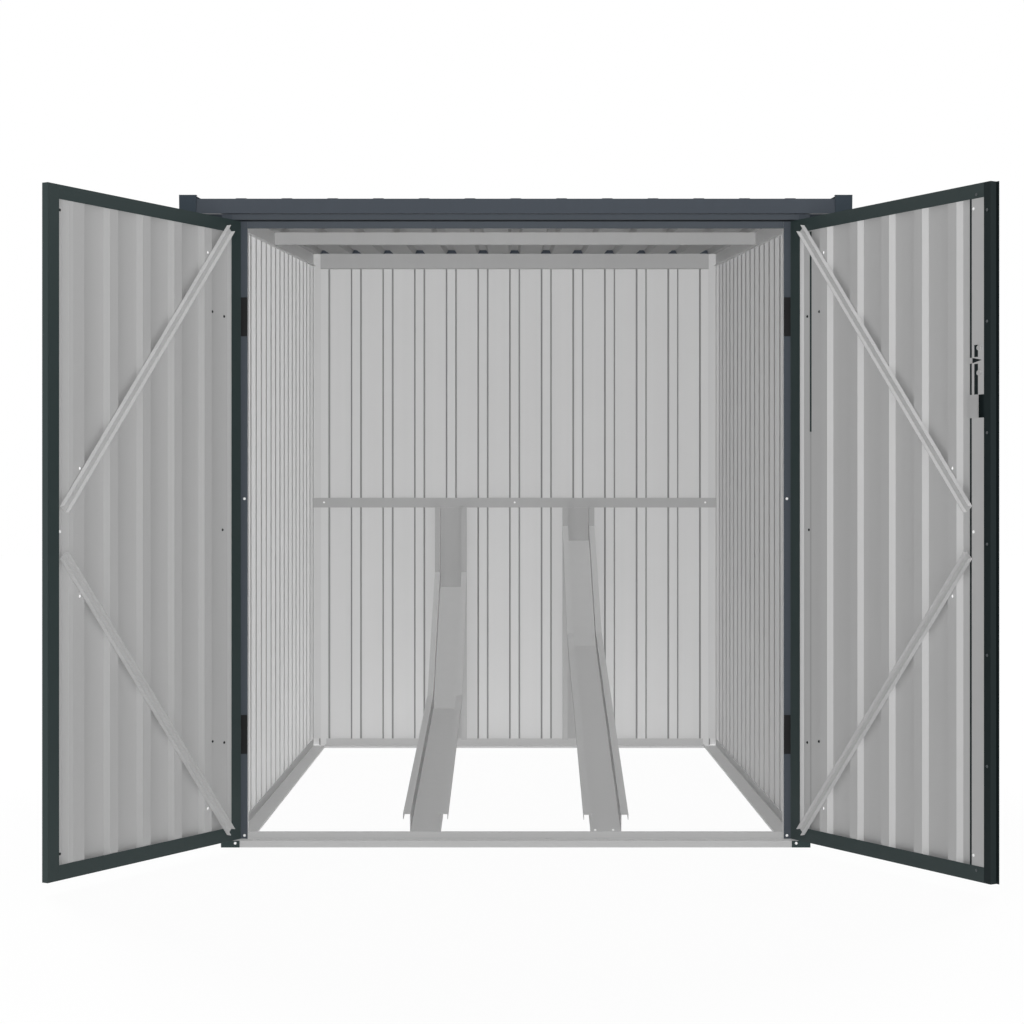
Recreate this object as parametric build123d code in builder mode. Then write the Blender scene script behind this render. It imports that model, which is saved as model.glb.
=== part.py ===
from build123d import *
import os
from math import cos, radians, sin, tan

# A bike shed of folded sheet steel: +X right, +Y from the doors to the back, +Z up.
# The origin is the middle of the front sill's underside, on the ground.

# Sheets and folds
sheet = 1.2                  # ribbed cladding
plate = 1.5                  # folded frame members
seat = 0.2                   # play between pieces that are screwed together
overrun = 60.0               # how far cutting tools reach past what they cut

# Ribs of the cladding
rib_pitch = 113.5
rib_top = 28.0
rib_run = 6.0
wall_rib_depth = 11.0
roof_rib_top = 24.0
roof_rib_run = 9.0
roof_rib_depth = 16.0
side_rib_margin = 80.0       # least distance of an outer rib's middle from its sheet's ends
back_rib_margin = 40.0
roof_rib_margin = 110.0
door_rib_margin = 30.0

# Overall shell
wall_half = 721.5            # middle of the shed to the side walls' ribs
front_y = -30.0              # plane of the sill's lip and the posts' faces
wall_depth = 2150.0          # front plane to the back wall's ribs
roof_z = 1603.0              # roof underside over the front plane
roof_slope = 4.2             # degrees, rising to the back
wall_lift = 2.0              # walls stand this far off the ground

# Rebated door frame
post_face = 27.4             # posts' face beside the rebate
stop_width = 33.6            # door stop between the rebate's side and the clear doorway
rebate_depth = 30.0          # front plane back to the door stop
post_return = 25.0
post_side = 45.0
sill_lip = 17.0
sill_top = 34.0
sill_hem = 10.0
sill_depth = 60.0
lintel_lip = 33.0            # roof underside down to the step over the doors
lintel_stop = 17.5           # door stop below the step
bracket_height = 17.0
bracket_reach = 45.0
bracket_side = 40.0

# Base and top rails
rail_foot = 47.0             # side rails' flange on the ground
back_rail_foot = 66.0
rail_leg = 26.0
rail_lip = 6.0
anchor_radius = 4.0          # ground anchor holes in the side rails' flanges
anchor_inset = 33.0          # from the walls' ribs
anchor_front = 100.0         # behind the front plane
anchor_rear = 40.0           # before the back wall
top_rail_height = 44.0
top_rail_lip = 12.0
back_top_rail_height = 53.0
back_top_rail_depth = 18.0
back_post_leg = 28.0
mid_rail_low = 853.0
mid_rail_height = 34.5
mid_rail_depth = 15.0
purlin_share = 0.456         # of the depth, front plane to the purlin
purlin_depth = 30.0
purlin_height = 36.0
purlin_lip = 10.0

# Roof edge
roof_side = 96.4             # overhang past the posts
roof_front = 45.0            # overhang past the front plane
roof_back = 60.0             # overhang past the back wall's ribs
fascia_drop = 20.0           # below the sheet's underside
fascia_rise = 16.0           # above it
fascia_return = 20.0
verge_width = 38.0
verge_drop = 20.0
verge_rise = 23.0
verge_return = 15.0
cap_wall = 2.0
cap_length = 16.0

# Wheel guides
guide_ribs = 2               # the guides stand on this rib of the back wall, counted from its middle
guide_floor = 78.0
guide_depth = 45.0
guide_flange = 16.0
guide_lip = 13.0
guide_start = 4.0            # front end of the trough, behind the sill's upstand
left_riser_run = 613.0       # steeper riser's length on plan, up to the wheel post
left_ramp_angle = 6.4
left_riser_angle = 31.2
right_riser_run = 565.0
right_ramp_angle = 13.6
right_riser_angle = 30.7

# Doors
hinge_inset = 6.0            # hinge axis from the rebate's side
hinge_stand = 1.0            # hinge axis before the front plane
hinge_foot = 255.0           # leaf's lower end to the lower hinge's middle
hinge_head = 234.0           # upper hinge's middle to the leaf's upper end
hinge_length = 98.0
knuckle_radius = 4.5
pin_radius = 2.2
pin_play = 0.3
knuckle_share = 0.36         # of the hinge's length, for the door's knuckle
knuckle_gap = 0.6
hinge_plate = 1.5
hinge_leaf_reach = 33.0
left_open_angle = 120.0      # degrees from shut, as the doors stand
right_open_angle = 120.0
door_edge = 4.0              # hinge axis to the leaf's edge
door_skin = 5.0              # hinge axis back to the leaf's outer face
door_thick = 16.5
door_foot_gap = 7.5          # over the sill's step
door_head_gap = 6.0          # under the lintel's step
door_gap = 5.5               # between the two leaves when shut
door_parting = 9.3           # where they meet, left of the doorway's middle
door_rib_depth = 12.0
door_rib_run = 9.0
door_rib_first = 17.7        # hinge axis to the first rib's middle
left_edge_rib = 51.0         # the left leaf's last rib is wider
hinge_stile = 36.0
left_lock_stile = 36.0
right_lock_stile = 21.0
right_lock_flange = 90.0     # its outer flange, behind the lock
right_hinge_flange = 85.0
hinge_slit = 7.0             # slit in the right sheet's upper half
hinge_slit_place = 63.3      # hinge axis to the slit
hinge_slit_rise = 243.0      # leaf's mid-height to the slit's lower end
lock_strip = 39.5            # plain strip that carries the lock
lock_slit = 19.0             # between the strip and the right sheet's end
door_top_rail = 32.0
door_bottom_rail = 34.0
door_fold = 1.2
brace_hole_radius = 3.5      # screw holes beside the braces' ends
brace_hole_outer = 677.8     # leaf's mid-height to the holes by the hinge side
brace_hole_inner = 143.4     # and to those by the lock side
brace_width = 22.0
brace_height = 12.0
brace_hinge_reach = 51.0     # hinge axis to the braces' outer ends
brace_lock_reach = 643.0     # and to their inner ends
brace_parting = 51.0         # leaf's mid-height to the braces' inner ends
brace_end_margin = 24.0      # braces end short of the leaf's top and bottom
astragal_width = 20.0
astragal_cover = 3.0         # past the leaf's free edge
astragal_depth = 6.0
astragal_plate = 1.5
astragal_rise = 1.0

# Lock on the right door's strip, from the strip's slit side and the leaf's mid-height
lock_plate = 1.5
lock_lap = 12.0              # how far its plates reach over the slit
slot_place = 6.5
slot_width = 13.0
upper_slot = (387.5, 414.5)
lower_slot = (303.5, 372.5)
latch_slot = (1.0, 31.5)     # along the strip, to its point
latch_low = 374.0
latch_high = 386.5
strap_width = 2.0            # of the latch's strap on the strip
keeper_place = 20.0
keeper_low = 253.0
keeper_high = 304.5
boss_place = 24.5
boss_radius = 5.5
boss_height = 4.0
boss_rises = (352.0, 407.0)

# Derived places
back_y = front_y + wall_depth
stop_y = front_y + rebate_depth
wall_outer = wall_half + wall_rib_depth + sheet
post_half = wall_outer + seat + plate
rebate_half = post_half - post_face
stop_half = rebate_half - stop_width
roof_half = post_half + roof_side
lintel_step = roof_z - lintel_lip
lintel_low = lintel_step - lintel_stop
hinge_x = rebate_half - hinge_inset
hinge_y = front_y - hinge_stand
door_low = sill_lip + door_foot_gap
door_high = lintel_step - door_head_gap
door_middle = (door_low + door_high) / 2
hinge_z = (door_low + hinge_foot, door_high - hinge_head)
guide_x = guide_ribs * rib_pitch
slope_run = tan(radians(roof_slope))
slope_along = Vector(0, cos(radians(roof_slope)), sin(radians(roof_slope)))
roof_normal = Vector(0, -sin(radians(roof_slope)), cos(radians(roof_slope)))


def roof_height(y):
    """Height of the roof's underside at a depth y."""
    return roof_z + (y - front_y) * slope_run


def roof_section(y):
    """Plane across the roof's slope at a depth y, with its own y along the roof's normal."""
    return Plane(origin=(0, y, roof_height(y)), x_dir=(1, 0, 0), z_dir=-slope_along)


def roof_plane(drop):
    """Plane parallel to the roof, a drop below its underside, facing up."""
    return Plane(origin=Vector(0, front_y, roof_z) - roof_normal * drop, x_dir=(1, 0, 0), z_dir=roof_normal)


def sheet_outline(path, thickness):
    """Closed outline of a folded sheet: a path and, mitred at the folds, its other face to the left."""
    points = [Vector(*point) for point in path]
    normals = []
    for start, end in zip(points, points[1:]):
        along = (end - start).normalized()
        normals.append(Vector(-along.Y, along.X))
    other = [points[0] + normals[0] * thickness]
    for point, before, after in zip(points[1:], normals, normals[1:]):
        both = before + after
        other.append(point + both * (2 * thickness / both.length**2))
    other.append(points[-1] + normals[-1] * thickness)
    return points + other[::-1]


def ribbed_path(start, stop, ribs, run, flat, crest):
    """Path across a ribbed sheet: flats at one level, and ribs, by their tops' two edges, at another."""
    points = []
    for low, high in ribs:
        if low - run > start:
            points.append((low - run, flat))
            points.append((low, crest))
        points.append((high, crest))
        points.append((high + run, flat))
    points.insert(0, (start, points[0][1]))
    points.append((stop, flat))
    return points


def rib_centres(middle, width, margin):
    """Evenly pitched rib centres about a middle, as many as a width takes between its margins."""
    count = int((width - 2 * margin) // rib_pitch) + 1
    return [middle + (index - (count - 1) / 2) * rib_pitch for index in range(count)]


def rib_tops(centres, width):
    """Edges of the ribs' tops about their centres."""
    return [(centre - width / 2, centre + width / 2) for centre in centres]


def save(piece, name):
    """Label a finished piece and write it."""
    piece.part.label = name
    export_step(piece.part, f"parts/{name}.step")


def folded(plane, path, thickness, length):
    """A sheet folded along a path and extruded from a plane."""
    with BuildPart() as piece:
        with BuildSketch(plane):
            with BuildLine():
                Polyline(*sheet_outline(path, thickness), close=True)
            make_face()
        extrude(amount=length)
    return piece


def mirrored(piece, side):
    """The piece as it stands for the left side, or its mirror image for the right."""
    if side == "left":
        return piece
    with BuildPart() as other:
        add(mirror(piece.part, about=Plane.YZ))
    return other


def paired(piece):
    """A left piece together with its mirror image."""
    with BuildPart() as pair:
        add(piece.part)
        mirror(about=Plane.YZ)
    return pair


os.makedirs("parts", exist_ok=True)

# Front sill: a lip, a step under the doors and an upstand that stops them
sill_half = rebate_half - seat
sill_back = front_y + sill_depth
sill_path = [
    (sill_back, 0),
    (front_y, 0),
    (front_y, sill_lip),
    (stop_y, sill_lip),
    (stop_y, sill_top),
    (stop_y + sill_hem, sill_top),
]
with BuildPart() as front_sill:
    with BuildSketch(Plane.YZ.offset(-sill_half)):
        with BuildLine():
            Polyline(*sheet_outline(sill_path, -plate), close=True)
        make_face()
    extrude(amount=2 * sill_half)
    with Locations(
        (stop_half - seat + overrun / 2, stop_y - seat, 0),
        (-stop_half + seat - overrun / 2, stop_y - seat, 0),
    ):
        Box(overrun, 2 * sill_depth, 2 * sill_top + overrun,
            align=(Align.CENTER, Align.MIN, Align.CENTER), mode=Mode.SUBTRACT)
save(front_sill, "front_sill")

# Front posts: side, face, rebate, door stop and a return into the shed
post_path = [
    (-post_half, front_y + post_side),
    (-post_half, front_y),
    (-rebate_half, front_y),
    (-rebate_half, stop_y),
    (-stop_half, stop_y),
    (-stop_half, stop_y + post_return),
]
for side in ("left", "right"):
    with BuildPart() as front_post:
        with BuildSketch(Plane.XY):
            with BuildLine():
                Polyline(*sheet_outline(post_path, plate), close=True)
            make_face()
        extrude(amount=roof_z + overrun)
        split(bisect_by=roof_plane(seat), keep=Keep.BOTTOM)
    save(mirrored(front_post, side), f"front_{side}_post")

# Foot brackets wrap the posts' feet and lap the sill
bracket_path = [
    (-post_half - seat, front_y - seat + bracket_side),
    (-post_half - seat, front_y - seat),
    (-post_half - seat + bracket_reach, front_y - seat),
]
with BuildPart() as foot_brackets:
    with BuildSketch(Plane.XY):
        with BuildLine():
            Polyline(*sheet_outline(bracket_path, -plate), close=True)
        make_face()
    extrude(amount=bracket_height)
    mirror(about=Plane.YZ)
save(foot_brackets, "front_foot_brackets")

# Base rails: an angle with a hemmed lip round the open floor
side_rail_path = [
    (-wall_half + seat, rail_leg),
    (-wall_half + seat, 0),
    (-wall_half + seat + rail_foot, 0),
    (-wall_half + seat + rail_foot, rail_lip),
]
side_rail_start = stop_y + post_return + seat
side_rail_length = back_y - seat - side_rail_start
for side in ("left", "right"):
    rail_plane = Plane(origin=(0, side_rail_start, 0), x_dir=(1, 0, 0), z_dir=(0, -1, 0))
    with BuildPart() as side_base_rail:
        with BuildSketch(rail_plane):
            with BuildLine():
                Polyline(*sheet_outline(side_rail_path, plate), close=True)
            make_face()
        extrude(amount=-side_rail_length)
        with Locations(
            (-wall_half + anchor_inset, front_y + anchor_front, plate),
            (-wall_half + anchor_inset, back_y - anchor_rear, plate),
        ):
            Hole(anchor_radius)
    save(mirrored(side_base_rail, side), f"{side}_base_rail")

back_rail_half = wall_half - rail_foot - 2 * seat
back_rail_path = [
    (back_y - seat, rail_leg),
    (back_y - seat, 0),
    (back_y - seat - back_rail_foot, 0),
    (back_y - seat - back_rail_foot, rail_lip),
]
back_base_rail = folded(Plane.YZ.offset(-back_rail_half), back_rail_path, -plate, 2 * back_rail_half)
save(back_base_rail, "back_base_rail")

# Ribbed walls: ribs inward against the frame, flats outside
side_wall_start = stop_y
side_wall_stop = back_y + wall_rib_depth - seat
side_ribs = rib_tops(rib_centres(front_y + wall_depth / 2, wall_depth, side_rib_margin), rib_top)
side_wall_plane = Plane(origin=(-wall_half, 0, wall_lift), x_dir=(0, 1, 0), z_dir=(0, 0, 1))
for side in ("left", "right"):
    with BuildPart() as side_wall:
        with BuildSketch(side_wall_plane):
            with BuildLine():
                side_path = ribbed_path(
                    side_wall_start, side_wall_stop, side_ribs, rib_run, wall_rib_depth, 0)
                Polyline(*sheet_outline(side_path, sheet), close=True)
            make_face()
        extrude(amount=roof_height(back_y) + overrun)
        split(bisect_by=roof_plane(seat), keep=Keep.BOTTOM)
    save(mirrored(side_wall, side), f"{side}_wall")

with BuildPart() as back_wall:
    with BuildSketch(Plane(origin=(0, back_y, wall_lift), x_dir=(1, 0, 0), z_dir=(0, 0, 1))):
        with BuildLine():
            back_ribs = rib_tops(rib_centres(0, 2 * post_half, back_rib_margin), rib_top)
            back_path = ribbed_path(-post_half, post_half, back_ribs, rib_run, wall_rib_depth, 0)
            Polyline(*sheet_outline(back_path, sheet), close=True)
        make_face()
    extrude(amount=roof_height(back_y) + overrun)
    split(bisect_by=roof_plane(seat), keep=Keep.BOTTOM)
save(back_wall, "back_wall")

# Back posts: angles in the rear corners
back_post_path = [
    (-wall_half + seat, back_y - seat - back_post_leg),
    (-wall_half + seat, back_y - seat),
    (-wall_half + seat + back_post_leg, back_y - seat),
]
with BuildPart() as back_posts:
    with BuildSketch(Plane.XY.offset(rail_leg + seat)):
        with BuildLine():
            Polyline(*sheet_outline(back_post_path, -plate), close=True)
        make_face()
    extrude(amount=roof_height(back_y) + overrun)
    split(bisect_by=roof_plane(seat), keep=Keep.BOTTOM)
    mirror(about=Plane.YZ)
save(back_posts, "back_posts")

# Lintel: door stop, step and lip, as the sill turned over, up to the roof
lintel_half = rebate_half - seat
lintel_top = roof_z - seat
lintel_path = [
    (stop_y, lintel_low),
    (stop_y, lintel_step),
    (front_y, lintel_step),
    (front_y, lintel_top),
    (stop_y - 2 * seat, lintel_top + (rebate_depth - 2 * seat) * slope_run),
]
with BuildPart() as door_lintel:
    with BuildSketch(Plane.YZ.offset(-lintel_half)):
        with BuildLine():
            Polyline(*sheet_outline(lintel_path, -plate), close=True)
        make_face()
    extrude(amount=2 * lintel_half)
    with Locations(
        (stop_half - seat + overrun / 2, stop_y - seat, lintel_step),
        (-stop_half + seat - overrun / 2, stop_y - seat, lintel_step),
    ):
        Box(overrun, overrun, 2 * overrun,
            align=(Align.CENTER, Align.MIN, Align.CENTER), mode=Mode.SUBTRACT)
save(door_lintel, "door_lintel")

# Top rails under the roof
side_top_path = [
    (-wall_half + seat, -seat),
    (-wall_half + seat, -top_rail_height),
    (-wall_half + seat + top_rail_lip, -top_rail_height),
]
side_top_start = stop_y + post_return + seat
side_top_stop = back_y - seat - back_post_leg - seat
side_top_length = (side_top_stop - side_top_start) / cos(radians(roof_slope))
side_top_length -= top_rail_height * slope_run
side_top_rail = folded(roof_section(side_top_start), side_top_path, plate, -side_top_length)
save(paired(side_top_rail), "side_top_rails")

back_top_half = wall_half - seat - back_post_leg - seat
back_top_z = roof_height(back_y - back_top_rail_depth) - seat
back_top_path = [
    (back_y - seat, back_top_z - back_top_rail_height),
    (back_y - seat - back_top_rail_depth, back_top_z - back_top_rail_height),
    (back_y - seat - back_top_rail_depth, back_top_z),
    (back_y - seat, back_top_z + back_top_rail_depth * slope_run),
]
back_top_rail = folded(Plane.YZ.offset(-back_top_half), back_top_path, -plate, 2 * back_top_half)
save(back_top_rail, "back_top_rail")

mid_rail_path = [
    (back_y - seat, mid_rail_low),
    (back_y - seat - mid_rail_depth, mid_rail_low),
    (back_y - seat - mid_rail_depth, mid_rail_low + mid_rail_height),
    (back_y - seat, mid_rail_low + mid_rail_height),
]
back_mid_rail = folded(Plane.YZ.offset(-back_top_half), mid_rail_path, -plate, 2 * back_top_half)
save(back_mid_rail, "back_mid_rail")

# Purlin under the roof, square to the slope
purlin_half = wall_half - 2 * seat - plate
purlin_y = front_y + wall_depth * purlin_share
purlin_plane = Plane(
    origin=(-purlin_half, purlin_y, roof_height(purlin_y)), x_dir=slope_along, z_dir=(1, 0, 0))
purlin_path = [
    (purlin_depth, -seat - purlin_lip),
    (purlin_depth, -seat),
    (0, -seat),
    (0, -seat - purlin_height),
    (purlin_depth, -seat - purlin_height),
    (purlin_depth, -seat - purlin_height + purlin_lip),
]
roof_purlin = folded(purlin_plane, purlin_path, plate, 2 * purlin_half)
save(roof_purlin, "roof_purlin")

# Roof sheet between the verges
roof_sheet_half = roof_half - plate - seat
roof_lean = (roof_rib_depth + sheet) * sin(radians(roof_slope))
roof_start = front_y - roof_front + plate + seat + roof_lean
roof_stop = back_y + roof_back - plate - seat
roof_length = (roof_stop - roof_start) / cos(radians(roof_slope))
roof_ribs = rib_tops(rib_centres(0, 2 * roof_half, roof_rib_margin), roof_rib_top)
roof_path = ribbed_path(-roof_sheet_half, roof_sheet_half, roof_ribs, roof_rib_run, 0, roof_rib_depth)
roof_sheet = folded(roof_section(roof_start), roof_path, sheet, -roof_length)
save(roof_sheet, "roof_sheet")

# Fascias close the sheet's ends, a little lower than its ribs
fascia_half = roof_half - verge_width - cap_wall - 2 * seat
fascia_front_y = front_y - roof_front
fascia_back_y = back_y + roof_back
fascia_front_path = [
    (fascia_front_y + fascia_return, roof_height(fascia_front_y) - fascia_drop),
    (fascia_front_y, roof_height(fascia_front_y) - fascia_drop),
    (fascia_front_y, roof_height(fascia_front_y) + fascia_rise),
]
front_fascia = folded(Plane.YZ.offset(-fascia_half), fascia_front_path, -plate, 2 * fascia_half)
save(front_fascia, "front_fascia")
fascia_back_path = [
    (fascia_back_y - fascia_return, roof_height(fascia_back_y) - fascia_drop),
    (fascia_back_y, roof_height(fascia_back_y) - fascia_drop),
    (fascia_back_y, roof_height(fascia_back_y) + fascia_rise),
]
back_fascia = folded(Plane.YZ.offset(-fascia_half), fascia_back_path, plate, 2 * fascia_half)
save(back_fascia, "back_fascia")

# Verges: channels along the sheet's sides
verge_path = [
    (-roof_half + verge_return, -verge_drop),
    (-roof_half, -verge_drop),
    (-roof_half, verge_rise),
    (-roof_half + verge_width, verge_rise),
    (-roof_half + verge_width, verge_rise - verge_return / 2),
]
verge_length = (fascia_back_y - fascia_front_y) / cos(radians(roof_slope))
verge = folded(roof_section(fascia_front_y), verge_path, -plate, -verge_length)
save(paired(verge), "roof_verges")

# Caps over the verges' four ends
cap_low = -verge_drop - seat - cap_wall
cap_high = verge_rise + seat + cap_wall
cap_outer = -roof_half - seat - cap_wall
cap_inner = -roof_half + verge_width + seat + cap_wall
with BuildPart() as roof_corner_caps:
    for end_y, outward in ((fascia_front_y, 1), (fascia_back_y, -1)):
        end_plane = roof_section(end_y).offset(outward * seat)
        with BuildSketch(end_plane):
            with Locations(((cap_outer + cap_inner) / 2, (cap_low + cap_high) / 2)):
                Rectangle(cap_inner - cap_outer, cap_high - cap_low)
        extrude(amount=outward * cap_wall)
        with BuildSketch(end_plane):
            with BuildLine():
                Polyline(
                    (cap_inner, cap_high),
                    (cap_outer, cap_high),
                    (cap_outer, cap_low),
                    (cap_outer + cap_wall, cap_low),
                    (cap_outer + cap_wall, cap_high - cap_wall),
                    (cap_inner, cap_high - cap_wall),
                    close=True)
            make_face()
        extrude(amount=-outward * cap_length)
    mirror(about=Plane.YZ)
save(roof_corner_caps, "roof_corner_caps")

# Wheel guides: hat-shaped troughs that climb from the sill to the back wall
guide_half = guide_floor / 2
guide_path = [
    (-guide_half - guide_flange, guide_depth - guide_lip),
    (-guide_half - guide_flange, guide_depth),
    (-guide_half, guide_depth),
    (-guide_half, 0),
    (guide_half, 0),
    (guide_half, guide_depth),
    (guide_half + guide_flange, guide_depth),
    (guide_half + guide_flange, guide_depth - guide_lip),
]
post_front_y = back_y - seat - guide_depth - plate
guide_low_z = sill_top + seat


def trough(origin, angle, length):
    """A length of trough climbing from an origin on its floor's underside."""
    climb = radians(angle)
    plane = Plane(origin=origin, x_dir=(1, 0, 0), z_dir=(0, -cos(climb), -sin(climb)))
    return folded(plane, guide_path, plate, -length)


guides = (
    ("left", -guide_x, left_riser_run, left_ramp_angle, left_riser_angle),
    ("right", guide_x, right_riser_run, right_ramp_angle, right_riser_angle),
)
for side, place_x, riser_run, ramp_angle, riser_angle in guides:
    bend_y = post_front_y - riser_run
    bend_z = guide_low_z + (bend_y - guide_start) * tan(radians(ramp_angle))
    half_turn = radians((ramp_angle + riser_angle) / 2)
    mitre_dir = (0, cos(half_turn), sin(half_turn))
    mitre = Plane(origin=(place_x, bend_y, bend_z), x_dir=(1, 0, 0), z_dir=mitre_dir)
    ramp_start = (place_x, guide_start, guide_low_z)
    with BuildPart() as wheel_ramp:
        add(trough(ramp_start, ramp_angle, (bend_y - guide_start) / cos(radians(ramp_angle)) + overrun).part)
        split(bisect_by=mitre.offset(-seat / 2), keep=Keep.BOTTOM)
    save(wheel_ramp, f"{side}_wheel_ramp")
    riser_start = (place_x, bend_y - overrun, bend_z - overrun * tan(radians(riser_angle)))
    riser_length = (riser_run + 2 * overrun) / cos(radians(riser_angle))
    riser_end = Plane(origin=(place_x, post_front_y - seat, 0), x_dir=(1, 0, 0), z_dir=(0, 1, 0))
    with BuildPart() as wheel_riser:
        add(trough(riser_start, riser_angle, riser_length).part)
        split(bisect_by=mitre.offset(seat / 2), keep=Keep.TOP)
        split(bisect_by=riser_end, keep=Keep.BOTTOM)
    save(wheel_riser, f"{side}_wheel_riser")
    wheel_post_low = rail_leg + seat
    wheel_post_plane = Plane(
        origin=(place_x, back_y - seat, wheel_post_low), x_dir=(-1, 0, 0), z_dir=(0, 0, 1))
    wheel_post = folded(wheel_post_plane, guide_path, plate, mid_rail_low - seat - wheel_post_low)
    save(wheel_post, f"{side}_wheel_post")

# Hinges: leaves folded round the rebate, with the pins, on the posts
knuckle_length = hinge_length * knuckle_share
frame_knuckle = (hinge_length - knuckle_length) / 2 - knuckle_gap
leaf_side_x = -rebate_half + seat
leaf_stop_y = stop_y - seat
frame_leaf_path = [
    (leaf_side_x, hinge_y + knuckle_radius / 2),
    (leaf_side_x, leaf_stop_y),
    (leaf_side_x + hinge_leaf_reach, leaf_stop_y),
]
with BuildPart() as frame_hinges:
    for middle_z in hinge_z:
        low_z = middle_z - hinge_length / 2
        with BuildSketch(Plane.XY.offset(low_z)):
            with BuildLine():
                Polyline(*sheet_outline(frame_leaf_path, -hinge_plate), close=True)
            make_face()
        extrude(amount=hinge_length)
        with BuildSketch(Plane.XY.offset(low_z)):
            with Locations((-hinge_x, hinge_y)):
                Circle(pin_radius)
        extrude(amount=hinge_length)
        for start_z in (low_z, low_z + hinge_length - frame_knuckle):
            with BuildSketch(Plane.XY.offset(start_z)):
                with Locations((-hinge_x, hinge_y)):
                    Circle(knuckle_radius)
                with Locations(((leaf_side_x - hinge_x) / 2, hinge_y + knuckle_radius - hinge_plate / 2)):
                    Rectangle(hinge_x + leaf_side_x, hinge_plate)
            extrude(amount=frame_knuckle)
    mirror(about=Plane.YZ)
save(frame_hinges, "frame_hinges")

# Doors, each built as the left leaf about its hinge axis and turned to stand open
left_leaf_end = hinge_x - door_parting - door_gap / 2
right_leaf_end = hinge_x + door_parting - door_gap / 2
door_inner = door_skin + door_thick
sheet_inner = door_inner - door_fold - seat
sheet_flat = sheet_inner - door_rib_depth
sheet_start = door_edge + door_fold + seat
left_sheet_stop = left_leaf_end - door_fold - seat
strip_start = right_leaf_end - right_lock_stile - lock_strip
right_sheet_stop = strip_start - lock_slit
rail_zone_low = door_low + door_bottom_rail + seat
rail_zone_high = door_high - door_top_rail - seat
brace_half = brace_width / 2
brace_path = [
    (-brace_half, brace_height),
    (-brace_half, 0),
    (brace_half, 0),
    (brace_half, brace_height),
]
brace_ends = (
    ((brace_hinge_reach, door_high - brace_end_margin), (brace_lock_reach, door_middle + brace_parting)),
    ((brace_hinge_reach, door_low + brace_end_margin), (brace_lock_reach, door_middle - brace_parting)),
)


def stile_path(edge, reach):
    """Channel round one side edge of a leaf, open towards its middle."""
    return [(edge + reach, door_skin), (edge, door_skin), (edge, door_inner), (edge + reach, door_inner)]


def rail_path(edge, reach):
    """Channel round the top or bottom edge of a leaf, open towards its middle."""
    return [(door_skin, edge + reach), (door_skin, edge), (door_inner, edge), (door_inner, edge + reach)]


def door_ribs(sheet_stop):
    """Rib centres of a leaf, from its hinge side on."""
    count = int((sheet_stop - door_rib_margin - door_rib_first) // rib_pitch) + 1
    return [door_rib_first + index * rib_pitch for index in range(count)]


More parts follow.
